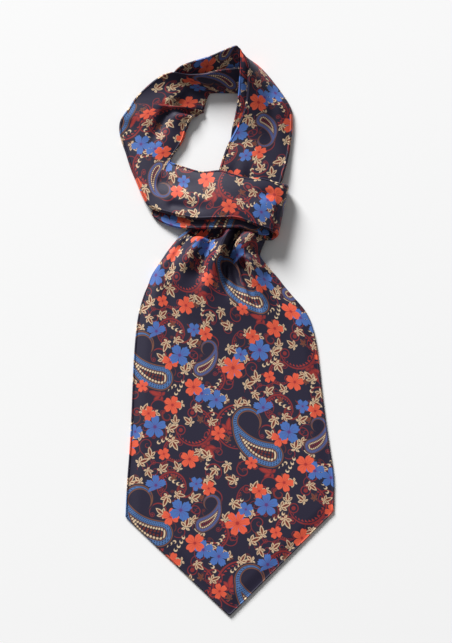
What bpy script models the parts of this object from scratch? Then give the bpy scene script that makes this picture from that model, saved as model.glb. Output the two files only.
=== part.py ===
"""A silk cravat, tied in one loop and laid flat: a pleated neck band, the wrap that crosses over it
as a knot, and two pointed blades that lie on each other.

All the tables are in millimetres. X runs to the right, Y from the point of the blades to the back of
the neck and Z up from the surface that the cravat lies on. The top side of every piece of cloth is
worked out first, as a grid of points, and its wall is then built downwards from it.
"""

import bmesh
import bpy
import numpy as np

MM = 0.001

# Cloth
BAND_WALL = 3.0
RIM_WALL = 2.0
FRONT_WALL = 1.8
REAR_WALL = 1.2
GAP = 0.3
STEEPEST = 0.45
FOLD_WIDENING = 0.6

# How far the back of the neck runs on under the left stretch, and how far out from the hole it does
TUCK = (-11.0, -7.0)
TUCK_ROWS = 0.09
TUCK_STARTS = 0.5
TUCK_FULL = 0.3

# The front blade over the rear one
REAR_INSET = 11.0
REAR_TIP_INSET = 22.0
REST_RIM = 2.5
OVER_REAR = REAR_WALL + GAP
SHELF_HEIGHT = 3.5
SHELF_START = 52.0
SHELF_END = 60.0

# How finely each piece is divided: along it and across it
LEFT_BAND_ROWS = 25
BACK_BAND_ROWS = 27
BACK_RIM_ROWS = 19
RIGHT_BAND_ROWS = 40
RIGHT_RIM_ROWS = 25
WRAP_ROWS = 30
WRAP_RIM_ROWS = 28
BLADE_ROWS = 46
REAR_ROWS = 48
BAND_COLUMNS = 9
RIM_COLUMNS = 4
BLADE_INNER_COLUMNS = 23
REAR_COLUMNS = 9
EDGE_COLUMNS = (0.0, 2.5, 8.5)

# The knot wrap's fold at its right end, and what runs back under the knot
FOLD_STEPS = 7
FOLD_BULGE = 5.0
RETURN_LENGTH = 30.0
RETURN_STEPS = 4
RETURN_DROP = 3.0

# The tables of the band. Each row is a line across it: where its two edges are, and how much its
# middle is raised between them.
BAND_COLUMN_NAMES = ("inner x", "inner y", "inner z", "outer x", "outer y", "outer z", "crown")

# Left stretch, from the knot up to the fold at the upper left. The inner edge is the one along the hole.
LEFT_BAND = (
    (-43.8, 130.0, 4.5, -59.0, 91.0, 6.0, 1.5),
    (-43.6, 131.2, 4.2, -64.5, 98.0, 5.0, 1.5),
    (-43.2, 132.8, 4.0, -71.0, 113.5, 4.0, 1.5),
    (-41.0, 136.5, 4.0, -76.0, 126.0, 3.2, 1.8),
    (-37.2, 142.0, 4.2, -79.8, 138.5, 3.0, 2.0),
    (-33.3, 149.0, 4.5, -83.3, 148.5, 3.0, 2.0),
    (-30.9, 157.0, 5.5, -85.0, 158.0, 3.0, 2.0),
    (-27.0, 165.5, 8.5, -83.6, 166.5, 3.2, 2.0),
    (-17.8, 172.4, 10.0, -75.8, 177.6, 4.5, 2.4),
)

# Back of the neck, seen on its inner face: the inner edge lies on the surface and the outer edge
# leans up and away. It starts under the left stretch.
BACK_BAND = (
    (-17.8, 173.3, 3.0, -75.6, 178.5, 4.5, 0.0),
    (-17.5, 174.5, 3.0, -71.0, 184.8, 6.0, 0.0),
    (-15.2, 183.0, 3.0, -57.5, 196.0, 11.0, 0.5),
    (-12.8, 188.0, 3.0, -45.0, 202.3, 15.0, 1.0),
    (-7.2, 189.0, 3.0, -30.5, 200.0, 18.0, 1.0),
    (-1.6, 189.0, 3.0, -17.8, 200.2, 20.0, 1.0),
    (4.8, 189.0, 3.0, -5.4, 203.0, 21.0, 1.0),
    (14.5, 188.6, 3.0, 10.0, 204.6, 21.5, 1.0),
)

# The pleat layer that stands out above the back of the neck.
BACK_RIM = (
    (-47.0, 199.5, 4.8, -45.5, 206.5, 9.5, 0.0),
    (-37.0, 198.5, 5.2, -37.5, 208.2, 14.0, 0.0),
    (-30.3, 197.5, 5.6, -29.0, 208.4, 18.0, 0.0),
    (-17.6, 197.6, 8.5, -12.8, 212.0, 22.5, 0.5),
    (-5.4, 200.2, 11.4, -1.0, 216.4, 25.0, 1.0),
    (3.5, 201.2, 12.0, 7.6, 219.4, 26.0, 1.0),
    (10.3, 202.0, 12.0, 10.6, 217.4, 25.5, 1.0),
)

# Right stretch, from the back of the neck down under the knot. Its inner edge stands up and its outer
# edge lies on the surface.
RIGHT_BAND = (
    (14.8, 211.0, 27.0, 12.5, 220.5, 3.0, 1.0),
    (17.6, 206.5, 26.5, 21.0, 215.5, 3.0, 1.5),
    (18.4, 201.8, 25.5, 27.4, 210.6, 3.0, 2.0),
    (17.8, 195.5, 23.5, 35.4, 201.6, 3.0, 2.5),
    (16.8, 184.2, 19.5, 45.6, 187.0, 3.0, 2.5),
    (15.4, 174.0, 16.0, 52.0, 175.2, 3.0, 2.5),
    (12.6, 164.5, 13.0, 53.0, 165.0, 3.0, 2.5),
    (8.6, 153.5, 10.0, 52.6, 154.0, 3.0, 2.5),
    (2.6, 144.0, 8.5, 51.2, 143.0, 3.5, 2.5),
    (-2.2, 133.2, 8.5, 49.2, 132.0, 4.5, 2.5),
    (-5.0, 123.5, 9.0, 46.4, 121.0, 6.0, 2.0),
    (-9.0, 112.0, 8.5, 42.5, 108.0, 6.5, 1.5),
    (-14.5, 99.0, 8.0, 36.5, 97.0, 6.5, 1.0),
    (-20.5, 86.8, 6.5, 29.0, 86.8, 6.5, 0.5),
)

# The pleat layer along the hole, beside the right stretch.
RIGHT_RIM = (
    (11.4, 216.4, 25.0, 14.3, 211.2, 25.8, 0.0),
    (11.3, 209.0, 23.5, 16.6, 206.3, 24.5, 0.5),
    (11.2, 203.0, 22.0, 17.3, 201.8, 23.5, 0.7),
    (10.6, 196.2, 19.5, 16.8, 195.3, 21.5, 0.8),
    (9.7, 184.6, 14.5, 15.8, 184.2, 17.5, 0.8),
    (8.7, 175.2, 11.5, 14.4, 174.2, 14.0, 0.7),
    (6.6, 164.4, 8.5, 11.7, 164.3, 11.0, 0.6),
    (3.6, 156.6, 6.5, 8.4, 157.4, 8.5, 0.4),
    (1.8, 148.6, 5.5, 3.6, 149.6, 6.5, 0.1),
)

# Knot wrap, from the left stretch over to the right. The inner edge is the upper one.
WRAP = (
    (-43.5, 129.7, 4.5, -58.6, 90.6, 6.0, 1.5),
    (-33.9, 125.2, 7.0, -43.8, 84.4, 9.5, 1.8),
    (-18.9, 119.6, 11.0, -24.9, 79.2, 13.0, 2.0),
    (-4.7, 119.4, 14.5, -9.3, 78.4, 16.0, 2.2),
    (5.5, 115.9, 16.0, 7.0, 78.2, 17.5, 2.4),
    (15.6, 112.6, 16.5, 17.8, 74.8, 18.0, 2.5),
    (28.1, 112.4, 16.0, 27.9, 70.8, 17.5, 2.3),
    (38.3, 110.0, 15.0, 35.2, 68.6, 16.0, 1.6),
    (44.6, 108.2, 13.5, 36.0, 68.4, 14.0, 0.8),
)

# The pleat layer that stands out below the knot wrap.
WRAP_RIM = (
    (-56.2, 93.5, 2.4, -58.2, 86.0, 2.2, 0.0),
    (-50.8, 93.0, 3.6, -53.8, 81.5, 3.2, 0.2),
    (-42.8, 91.5, 5.6, -43.0, 76.0, 5.0, 0.3),
    (-33.0, 89.0, 7.6, -32.8, 73.2, 7.0, 0.3),
    (-24.4, 86.5, 9.4, -23.6, 72.6, 9.0, 0.3),
    (-9.0, 85.0, 12.4, -9.2, 72.0, 12.0, 0.3),
    (6.6, 84.5, 14.0, 6.6, 72.0, 13.5, 0.3),
    (17.4, 81.5, 14.6, 16.4, 70.2, 14.0, 0.3),
    (27.6, 77.5, 14.0, 27.0, 66.4, 13.5, 0.2),
    (32.4, 75.5, 12.8, 32.8, 66.4, 12.4, 0.1),
)

# Front blade, from its throat under the knot down to its point. The lifts are the height of its
# underside; crown is how much more the middle is raised, point how far the row dips in the middle.
BLADE_COLUMN_NAMES = (
    "left x", "left y", "left lift", "right x", "right y", "right lift", "crown", "point",
)
FRONT_BLADE = (
    (-26.0, 86.0, 2.5, 28.5, 86.0, 4.0, 0.3, 0.0),
    (-31.3, 74.0, 2.2, 31.3, 73.5, 4.4, 0.8, 0.0),
    (-38.5, 66.5, 1.2, 31.0, 64.0, 4.2, 4.2, 0.0),
    (-45.8, 57.3, 0.0, 28.8, 58.2, 3.2, 6.8, 0.0),
    (-49.4, 51.8, 0.0, 27.4, 52.6, 1.4, 7.8, 0.0),
    (-54.0, 44.4, 0.0, 33.0, 44.4, 0.2, 8.2, 0.0),
    (-58.2, 37.2, 0.0, 40.2, 35.8, 0.0, 7.8, 0.0),
    (-61.0, 29.0, 0.0, 45.6, 28.4, 0.0, 7.0, 0.0),
    (-63.8, 21.5, 0.0, 51.4, 21.0, 0.0, 6.2, 0.0),
    (-67.4, 7.5, 0.0, 61.6, 8.0, 0.0, 4.6, 0.0),
    (-69.1, -3.0, 0.0, 66.4, -2.5, 0.0, 3.4, 0.0),
    (-70.4, -18.0, 0.0, 69.9, -18.0, 0.0, 2.2, 0.0),
    (-71.4, -37.0, 0.0, 72.0, -37.0, 0.0, 1.4, 2.0),
    (-72.0, -59.0, 0.0, 74.0, -58.5, 0.0, 0.8, 8.0),
    (-72.6, -80.0, 0.0, 76.3, -79.0, 0.0, 0.5, 18.0),
    (-73.6, -102.0, 0.0, 79.0, -100.0, 0.0, 0.3, 32.0),
    (-75.0, -124.0, 0.0, 81.8, -121.0, 0.0, 0.2, 50.0),
    (-75.8, -142.0, 0.0, 81.8, -138.5, 0.0, 0.0, 66.0),
    (-76.1, -152.6, 0.0, 81.4, -148.6, 0.0, 0.0, 75.9),
)

# Folds of the front blade: height (a trough is negative), half width, and the line each one follows
# from where it is strongest to where it dies out.
BLADE_FOLDS = {
    "dark pocket under the knot": (-8.0, 8.0, ((-8.5, 90.0), (-8.5, 76.0), (-9.0, 66.0))),
    "middle pleat": (6.0, 3.2, ((4.0, 88.0), (3.5, 74.0), (1.0, 64.0), (-3.5, 52.0))),
    "centre valley": (
        -9.0, 4.6, ((11.5, 88.0), (10.5, 72.0), (4.8, 62.0), (0.6, 52.0), (-1.0, 38.0), (4.0, 2.0)),
    ),
    "right pleat": (5.5, 8.0, ((19.0, 88.0), (19.5, 66.0), (17.0, 52.0), (11.0, 34.0))),
    "right pocket": (-7.5, 4.2, ((13.5, 40.0), (17.5, 28.0), (26.0, 4.0))),
    "right wing ridge": (2.5, 6.5, ((26.0, 42.0), (31.0, 30.0), (41.0, 8.0))),
    "left pleat": (3.0, 8.0, ((-23.0, 62.0), (-27.0, 52.0), (-36.0, 32.0), (-44.0, 8.0))),
    "left diagonal trough": (-3.0, 6.5, ((-15.0, 62.0), (-18.5, 44.0), (-25.0, 20.0))),
    "lower left trough": (-2.0, 8.0, ((-40.0, 16.0), (-36.0, 0.0), (-28.0, -18.0))),
    "lower right trough": (-2.0, 8.0, ((47.0, 20.0), (53.0, 4.0), (58.0, -16.0))),
}

LEFT_BAND_FOLDS = {
    "buckle at the upper left": (-3.0, 4.0, ((-48.0, 168.0), (-51.5, 162.0), (-58.0, 151.0))),
}

SILK_NAVY = (0.045, 0.045, 0.085, 1.0)
SILK_SHADOW_NAVY = (0.025, 0.025, 0.05, 1.0)
SILK_ROUGHNESS = 0.45


def smoothstep(value):
    """0 to 1 in a soft S, and flat beyond both ends."""
    value = np.clip(value, 0.0, 1.0)
    return value * value * (3.0 - 2.0 * value)


def through_rows(table, samples):
    """Rows read along a Catmull-Rom curve through the rows of a table, evenly spaced."""
    rows = np.array(table, float)
    padded = np.vstack([2 * rows[0] - rows[1], rows, 2 * rows[-1] - rows[-2]])
    place = np.linspace(0.0, len(rows) - 1.0, samples)
    start = np.minimum(place.astype(int), len(rows) - 2)
    part = (place - start)[:, None]
    before, first, second, after = (padded[start + step] for step in range(4))
    return 0.5 * (
        2 * first
        + (second - before) * part
        + (2 * before - 5 * first + 4 * second - after) * part**2
        + (3 * first - before - 3 * second + after) * part**3
    )


def band_grid(table, samples, columns):
    """Top side of a band: one row of points across it at each place along it."""
    rows = through_rows(table, samples)
    at = dict(zip(BAND_COLUMN_NAMES, rows[:, None, :].transpose(2, 0, 1)))
    across = np.linspace(0.0, 1.0, columns)[None, :]
    x, y, z = (at["inner " + axis] + (at["outer " + axis] - at["inner " + axis]) * across for axis in "xyz")
    return np.stack([x, y, z + at["crown"] * 4 * across * (1 - across)], axis=-1)


def tucked_under(grid):
    """The first rows of a band drawn on past its end, on the half beside the hole."""
    along = np.linspace(0.0, 1.0, grid.shape[0])[:, None]
    across = np.linspace(0.0, 1.0, grid.shape[1])[None, :]
    near_the_end = 1.0 - smoothstep(along / TUCK_ROWS)
    near_the_hole = smoothstep((TUCK_STARTS - across) / (TUCK_STARTS - TUCK_FULL))
    tucked = grid.copy()
    tucked[..., 0] += TUCK[0] * near_the_end * near_the_hole
    tucked[..., 1] += TUCK[1] * near_the_end * near_the_hole
    return tucked


def fold_height(x, y, folds):
    """Height that the folds add at each point."""
    total = np.zeros_like(x)
    for height, half_width, line in folds.values():
        line = np.array(line, float)
        steps = np.linalg.norm(np.diff(line, axis=0), axis=1)
        before = np.concatenate([[0.0], np.cumsum(steps)])
        nearest = np.full_like(x, np.inf)
        along = np.zeros_like(x)
        for index, (start, end) in enumerate(zip(line[:-1], line[1:])):
            run = end - start
            share = ((x - start[0]) * run[0] + (y - start[1]) * run[1]) / (run @ run)
            share = np.clip(share, 0.0, 1.0)
            away = np.hypot(x - start[0] - share * run[0], y - start[1] - share * run[1])
            closer = away < nearest
            nearest = np.where(closer, away, nearest)
            along = np.where(closer, (before[index] + share * steps[index]) / before[-1], along)
        spread = half_width * (1.0 + FOLD_WIDENING * along)
        total += height * np.exp(-((nearest / spread) ** 2)) * (1.0 - smoothstep(along))
    return total


def upward_normals(grid):
    """Unit normals of a grid of points, on the side that faces up where the grid lies flat."""
    normals = np.cross(np.gradient(grid, axis=0), np.gradient(grid, axis=1))
    normals /= np.linalg.norm(normals, axis=2, keepdims=True)
    return normals if normals[0, 0, 2] > 0 else -normals


def wall_below(top, thickness):
    """Lower side of a wall that is this thick, straight below its top side and never under the surface."""
    rise = np.maximum(upward_normals(top)[..., 2], STEEPEST)
    bottom = top.copy()
    bottom[..., 2] = np.maximum(top[..., 2] - thickness / rise, 0.0)
    return bottom


def blade_columns(width):
    """Shares of the width at which a blade has points: close at both edges, even between them."""
    edge = np.array(EDGE_COLUMNS) / width
    middle = np.linspace(edge[-1], 1.0 - edge[-1], BLADE_INNER_COLUMNS)
    return np.concatenate([edge[:-1], middle, 1.0 - edge[:-1][::-1]])


def blade_rows(samples):
    """The columns of the front blade's table at each row of points, by name."""
    rows = through_rows(FRONT_BLADE, samples)
    return dict(zip(BLADE_COLUMN_NAMES, rows[:, None, :].transpose(2, 0, 1)))


def front_blade_sides():
    """Top and bottom grids of the front blade."""
    at = blade_rows(BLADE_ROWS)
    width = at["right x"] - at["left x"]
    share = np.array([blade_columns(row_width) for row_width in width[:, 0]])
    tent = 1.0 - np.abs(2.0 * share - 1.0)
    x = at["left x"] + width * share
    y = at["left y"] + (at["right y"] - at["left y"]) * share - at["point"] * tent
    lift = at["left lift"] + (at["right lift"] - at["left lift"]) * share
    lift = lift + at["crown"] * np.sqrt(4 * share * (1 - share))

    from_side = np.minimum(share, 1.0 - share) * width
    from_point = (y - y[-1]) * np.sqrt(0.5)
    from_edge = np.minimum(from_side, from_point)
    inside = smoothstep((from_edge - REST_RIM) / (EDGE_COLUMNS[-1] - REST_RIM))
    shelf = SHELF_HEIGHT * smoothstep((y - SHELF_START) / (SHELF_END - SHELF_START)) * (from_side > 0)
    lift = np.maximum(lift + fold_height(x, y, BLADE_FOLDS) * inside, shelf)
    over_rear = OVER_REAR * inside * (y < SHELF_END)
    bottom = np.stack([x, y, np.maximum(lift, 0.0) + over_rear], axis=-1)
    top = bottom.copy()
    top[..., 2] += FRONT_WALL / np.maximum(upward_normals(bottom)[..., 2], STEEPEST)
    return top, bottom


def rear_blade_sides():
    """Top and bottom grids of the rear blade: a plain flat end, inset all round under the front one."""
    at = blade_rows(REAR_ROWS)
    under_the_front = at["left y"][:, 0] < SHELF_START
    at = {name: column[under_the_front] for name, column in at.items()}
    share = np.linspace(0.0, 1.0, REAR_COLUMNS)[None, :]
    tent = 1.0 - np.abs(2.0 * share - 1.0)
    left, right = at["left x"] + REAR_INSET, at["right x"] - REAR_INSET
    x = left + (right - left) * share
    y = at["left y"] + (at["right y"] - at["left y"]) * share - at["point"] * tent
    y = y + REAR_TIP_INSET * at["point"] / at["point"][-1]
    bottom = np.stack([x, y, np.zeros_like(x)], axis=-1)
    return bottom + (0.0, 0.0, REAR_WALL), bottom


def knot_wrap_sides():
    """Outer and inner grids of the knot wrap, with its rounded fold and the layer that runs back."""
    over = band_grid(WRAP, WRAP_ROWS, BAND_COLUMNS)
    last = over[-1]
    down_the_fold = np.linspace(0.0, 1.0, BAND_COLUMNS)
    outer = [over]
    for step in range(1, FOLD_STEPS + 1):
        angle = np.pi * step / FOLD_STEPS
        row = last.copy()
        row[:, 0] += FOLD_BULGE * np.sin(angle)
        row[:, 1] -= RETURN_DROP * down_the_fold * (step / FOLD_STEPS) ** 2
        row[:, 2] = last[:, 2] * 0.5 * (1 + np.cos(angle))
        outer.append(row[None])
    for step in range(1, RETURN_STEPS + 1):
        row = outer[FOLD_STEPS][0].copy()
        row[:, 0] -= RETURN_LENGTH * step / RETURN_STEPS
        row[:, 2] = 0.0
        outer.append(row[None])
    outer = np.concatenate(outer)
    inner = outer - upward_normals(outer) * BAND_WALL
    inner[..., 2] = np.maximum(inner[..., 2], 0.0)
    return outer, inner


def silk(name, colour):
    """A soft sheen on a dark ground."""
    material = bpy.data.materials.new(name)
    material.use_nodes = True
    shader = material.node_tree.nodes["Principled BSDF"]
    shader.inputs["Base Color"].default_value = colour
    shader.inputs["Roughness"].default_value = SILK_ROUGHNESS
    shader.inputs["Metallic"].default_value = 0.0
    material.diffuse_color = colour
    return material


def cloth_object(name, sides, shift, material):
    """One closed wall between the two grids of points."""
    top, bottom = (side + shift for side in sides)
    rows, columns = top.shape[:2]
    mesh = bmesh.new()
    upper = [[mesh.verts.new(point * MM) for point in row] for row in top]
    lower = [[mesh.verts.new(point * MM) for point in row] for row in bottom]
    for i in range(rows - 1):
        for j in range(columns - 1):
            for side in (upper, lower):
                mesh.faces.new((side[i][j], side[i + 1][j], side[i + 1][j + 1], side[i][j + 1]))
    border = [(0, j) for j in range(columns)]
    border += [(i, columns - 1) for i in range(1, rows)]
    border += [(rows - 1, j) for j in range(columns - 2, -1, -1)]
    border += [(i, 0) for i in range(rows - 2, 0, -1)]
    for (i, j), (k, m) in zip(border, border[1:] + border[:1]):
        mesh.faces.new((upper[i][j], upper[k][m], lower[k][m], lower[i][j]))
    bmesh.ops.recalc_face_normals(mesh, faces=mesh.faces)
    data = bpy.data.meshes.new(name)
    mesh.to_mesh(data)
    mesh.free()
    data.materials.append(material)
    data.shade_smooth()
    data.set_sharp_from_angle(angle=np.radians(50.0))
    bpy.context.scene.collection.objects.link(bpy.data.objects.new(name, data))


def build():
    for old in list(bpy.data.objects):
        bpy.data.objects.remove(old)

    left = band_grid(LEFT_BAND, LEFT_BAND_ROWS, BAND_COLUMNS)
    left[..., 2] += fold_height(left[..., 0], left[..., 1], LEFT_BAND_FOLDS)
    back = tucked_under(band_grid(BACK_BAND, BACK_BAND_ROWS, BAND_COLUMNS))
    back_rim = band_grid(BACK_RIM, BACK_RIM_ROWS, RIM_COLUMNS)
    right = band_grid(RIGHT_BAND, RIGHT_BAND_ROWS, BAND_COLUMNS)
    right_rim = band_grid(RIGHT_RIM, RIGHT_RIM_ROWS, RIM_COLUMNS)
    wrap_rim = band_grid(WRAP_RIM, WRAP_RIM_ROWS, RIM_COLUMNS)

    sides = {
        "front_blade": front_blade_sides(),
        "rear_blade": rear_blade_sides(),
        "neck_band_left": (left, wall_below(left, BAND_WALL)),
        "neck_band_back": (back, wall_below(back, BAND_WALL)),
        "neck_band_back_rim": (back_rim, wall_below(back_rim, RIM_WALL)),
        "neck_band_right": (right, wall_below(right, BAND_WALL)),
        "neck_band_right_rim": (right_rim, wall_below(right_rim, RIM_WALL)),
        "knot_wrap": knot_wrap_sides(),
        "knot_wrap_rim": (wrap_rim, wall_below(wrap_rim, RIM_WALL)),
    }
    points = np.concatenate([grid.reshape(-1, 3) for pair in sides.values() for grid in pair])
    shift = -0.5 * (points.min(axis=0) + points.max(axis=0)) * (1.0, 1.0, 0.0)
    for name, pair in sides.items():
        colour = SILK_SHADOW_NAVY if name == "rear_blade" else SILK_NAVY
        cloth_object(name, pair, shift, silk(name, colour))


build()
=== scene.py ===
"""The looks of a silk cravat, tied in one loop and laid flat: its cloth, its print, the floor it lies
on, the light and the camera.

All the tables are in millimetres, in the same frame as the solids' own tables: X runs to the right, Y
from the point of the blades to the back of the neck, Z up from the surface. PLACE moves them to where
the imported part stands.
"""

import math

import bpy
import numpy as np
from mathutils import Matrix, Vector


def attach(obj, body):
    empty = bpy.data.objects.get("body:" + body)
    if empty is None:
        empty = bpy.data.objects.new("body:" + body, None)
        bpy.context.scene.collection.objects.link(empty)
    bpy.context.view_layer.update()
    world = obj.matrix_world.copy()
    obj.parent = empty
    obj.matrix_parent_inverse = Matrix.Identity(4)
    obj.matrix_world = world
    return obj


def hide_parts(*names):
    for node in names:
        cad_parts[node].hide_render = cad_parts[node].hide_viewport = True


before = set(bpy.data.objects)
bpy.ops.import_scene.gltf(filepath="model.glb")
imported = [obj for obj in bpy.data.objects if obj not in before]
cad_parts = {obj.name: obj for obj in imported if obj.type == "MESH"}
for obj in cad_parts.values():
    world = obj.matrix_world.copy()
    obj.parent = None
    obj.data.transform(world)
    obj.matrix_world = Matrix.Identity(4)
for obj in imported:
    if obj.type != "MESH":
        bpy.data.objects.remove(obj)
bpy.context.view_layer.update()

MM = 0.001
PLACE = np.array((1.4896, 3.0, 0.0))
BODY = "root"

# Cloth
BAND_WALL = 3.0
RIM_WALL = 2.0
FRONT_WALL = 1.8
REAR_WALL = 0.8
GAP = 0.3
STEEPEST = 0.7
FOLD_WIDENING = 0.6
EDGE_STEPS = 5
FLOOR_CLEARANCE = 0.05
FINE_STEPS = 40

# Where the left stretch laps over the back of the neck: only beside the hole, by shares of the width.
# Further out the cloth runs through, and the back rises to it over LAP_FADE.
LAP_FULL = 0.30
LAP_ENDS = 0.56
LAP_FADE = 26.0
LAP_STEPS = 6

# The front blade over the rear one
REAR_INSET = 11.0
REAR_TIP_INSET = 22.0
REST_RIM = 0.5
OVER_REAR = REAR_WALL + GAP
EDGE_RISE = 10.5
REAR_ENDS = 60.0
REAR_FADE = 8.0
REAR_ROWS_BELOW = 53.0

# What runs back under the knot lifts the blade's throat at the right
SHELF_HEIGHT = 3.5
SHELF_START = (14.0, 54.0)
SHELF_END = (20.0, 63.0)

# Distance between the points of the meshes
BAND_SPACING = 1.2
BLADE_SPACING = 1.3
REAR_SPACING = 3.0

# The knot wrap's fold at its right end, and what runs back under the knot
FOLD_STEPS = 14
FOLD_BULGE = 5.0
RETURN_LENGTH = 14.0
RETURN_STEPS = 8
RETURN_DROP = 3.0

# The tables of the band. Each row is a line across it: where its two edges are, and how much its
# middle is raised between them.
BAND_COLUMN_NAMES = ("inner x", "inner y", "inner z", "outer x", "outer y", "outer z", "crown")

# Left stretch from the fold at the upper left down to the knot, and on as the wrap that crosses to
# the right. The inner edge is the one along the hole.
LEFT_BAND_AND_WRAP = (
    (-17.8, 172.4, 8, -75.8, 177.6, 4.5, 2.8),
    (-27, 165.5, 5.6, -83.6, 166.5, 3.2, 3),
    (-30.9, 157, 4.4, -85, 158, 3, 2.4),
    (-33.3, 149, 4.5, -83.3, 148.5, 3, 2),
    (-37.2, 142, 4.2, -79.8, 138.5, 3, 2),
    (-41, 136.5, 4, -76, 126, 3.2, 1.8),
    (-43.2, 132.8, 4, -71, 113.5, 4, 1.5),
    (-43.6, 131.2, 4.2, -64.5, 98, 5, 1.5),
    (-43.5, 129.7, 4.5, -58.6, 90.6, 6, 1.5),
    (-33.9, 125.2, 7, -43.8, 84.4, 9.5, 1.8),
    (-18.9, 119.6, 11, -24.9, 79.2, 13, 2),
    (-4.7, 119.4, 14.5, -9.3, 78.4, 16, 2.2),
    (5.5, 115.9, 16, 7, 78.2, 17.5, 2.4),
    (15.6, 112.6, 16.5, 17.8, 74.8, 18, 2.5),
    (28.1, 112.4, 16, 27.9, 70.8, 17.5, 2.3),
    (38.3, 110, 15, 35.2, 68.6, 16, 1.6),
    (44.6, 108.2, 13.5, 36, 68.4, 14, 0.8),
)

# Back of the neck, seen on its inner face: the inner edge lies on the surface and the outer edge
# leans up and away. It starts under the left stretch.
BACK_BAND = (
    (-17.8, 173.3, 3, -75.6, 178.5, 4.5, 0),
    (-17.5, 174.5, 3, -71, 184.8, 6, 0),
    (-15.2, 183, 3, -57.5, 196, 11, 0.5),
    (-12.8, 188, 3, -45, 201.6, 14, 1),
    (-7.2, 189, 3, -30.5, 199.6, 15.4, 1.4),
    (-1.6, 189, 3, -17.8, 200, 16.4, 1.4),
    (4.8, 189, 3, -5.4, 202.6, 17.4, 1.4),
    (14.5, 188.6, 3, 10, 204.2, 18, 1.4),
)

# The pleat layer that stands out above the back of the neck.
BACK_RIM = (
    (-48.5, 194.5, 4.6, -48, 196.5, 6.6, 0),
    (-43, 196.8, 5, -43, 201.6, 9.6, 0),
    (-37, 198, 5.2, -37.2, 206.2, 14, 0),
    (-30.3, 197.5, 5.6, -29, 208.4, 18, 0),
    (-17.6, 197.6, 8.5, -12.8, 212, 22.5, 0.5),
    (-5.4, 200.2, 11.4, -1, 216.4, 25, 1),
    (3.5, 201.2, 12, 7.6, 219.4, 26, 1),
    (10.3, 202, 12, 10.6, 217.4, 25.5, 1),
)

# Right stretch, from the back of the neck down under the knot. Its inner edge stands up and its outer
# edge lies on the surface.
RIGHT_BAND = (
    (14.8, 211, 27, 12.5, 220.5, 3, 1),
    (17.6, 206.5, 26.5, 21, 215.5, 3, 1.5),
    (18.4, 201.8, 25.5, 27.4, 210.6, 3, 2),
    (17.8, 195.5, 23.5, 35.4, 201.6, 3, 2.5),
    (16.8, 184.2, 19.5, 45.6, 187, 3, 2.5),
    (15.4, 174, 16, 52, 175.2, 3, 2.5),
    (12.2, 164.5, 13, 53, 165, 3, 2.5),
    (7, 153.5, 10, 52.6, 154, 3, 2.5),
    (1.8, 144, 8.5, 51.2, 143, 3.5, 2.5),
    (-2.2, 133.2, 8.5, 49.2, 132, 4.5, 2.5),
    (-5, 123.5, 9, 46.4, 121, 6, 2),
    (-9, 112, 8.5, 42.5, 108, 6.5, 1.5),
    (-14.5, 99, 8, 36.5, 97, 6.5, 1),
    (-20.5, 86.8, 6.5, 29, 86.8, 6.5, 0.5),
)

# The pleat layer along the hole, beside the right stretch.
RIGHT_RIM = (
    (11.4, 216.4, 25, 14.3, 211.2, 25.4, 0),
    (11.3, 209, 23.5, 16.8, 206.3, 23.8, 0.5),
    (11.2, 203, 22, 18, 201.8, 21.4, 0.9),
    (10.6, 196.2, 19.5, 18.8, 195.3, 17.8, 1.2),
    (9.7, 184.6, 14.5, 19.4, 184.2, 13.4, 1.2),
    (8.7, 175.2, 11.5, 18.2, 174.2, 10.6, 1),
    (6.6, 164.4, 8.5, 15.6, 164.3, 8, 0.8),
    (4.6, 156, 6.2, 12, 157.2, 5.4, 0.5),
    (3.6, 147.6, 5, 7.6, 149.2, 4.4, 0.2),
)

# The pleat layer that stands out below the knot wrap.
WRAP_RIM = (
    (-56.2, 93.5, 2.4, -58.2, 86, 2.2, 0),
    (-50.8, 93, 3.6, -53.8, 81.5, 3.2, 0.2),
    (-42.8, 91.5, 5.6, -43, 76, 5, 0.3),
    (-33, 89, 7.6, -32.8, 73.2, 7, 0.3),
    (-24.4, 86.5, 9.4, -23.6, 72.6, 9, 0.3),
    (-9, 85, 12.4, -9.2, 72, 12, 0.3),
    (6.6, 84.5, 14, 6.6, 72, 13.5, 0.3),
    (17.4, 81.5, 14.6, 16.4, 70.2, 14, 0.3),
    (27.6, 77.5, 14, 27, 66.4, 13.5, 0.2),
    (32.4, 75.5, 12.8, 32.8, 66.4, 12.4, 0.1),
)

# Front blade, from its throat under the knot down to its point. The lifts are the height of its
# underside; crown is how much more the middle is raised, point how far the row dips in the middle.
BLADE_COLUMN_NAMES = (
    "left x", "left y", "left lift", "right x", "right y", "right lift", "crown", "point",
)
FRONT_BLADE = (
    (-26, 86, 2.5, 28.5, 86, 4, 4, 0),
    (-31.3, 74, 2, 31.3, 73.5, 4.4, 5.6, 0),
    (-38.5, 66.5, 1, 31, 64, 4.2, 8, 0),
    (-45.8, 57.3, 0, 28.8, 58.2, 3.2, 9.6, 0),
    (-49.4, 51.8, 0, 27.4, 52.6, 1.4, 10.2, 0),
    (-54, 44.4, 0, 33, 44.4, 0.2, 10, 0),
    (-58.2, 37.2, 0, 40.2, 35.8, 0, 7.8, 0),
    (-61, 29, 0, 45.6, 28.4, 0, 7, 0),
    (-63.8, 21.5, 0, 51.4, 21, 0, 6.2, 0),
    (-67.4, 7.5, 0, 61.6, 8, 0, 4.6, 0),
    (-69.1, -3, 0, 66.4, -2.5, 0, 3.4, 0),
    (-70.4, -18, 0, 69.9, -18, 0, 2.2, 0),
    (-71.4, -37, 0, 72, -37, 0, 1.4, 2),
    (-72, -59, 0, 74, -58.5, 0, 0.8, 8),
    (-72.6, -80, 0, 76.3, -79, 0, 0.5, 18),
    (-73.6, -102, 0, 79, -100, 0, 0.3, 32),
    (-75, -124, 0, 81.8, -121, 0, 0.2, 50),
    (-75.8, -142, 0, 81.8, -138.5, 0, 0, 66),
    (-76.1, -152.6, 0, 81.4, -148.6, 0, 0, 75.9),
)

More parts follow.
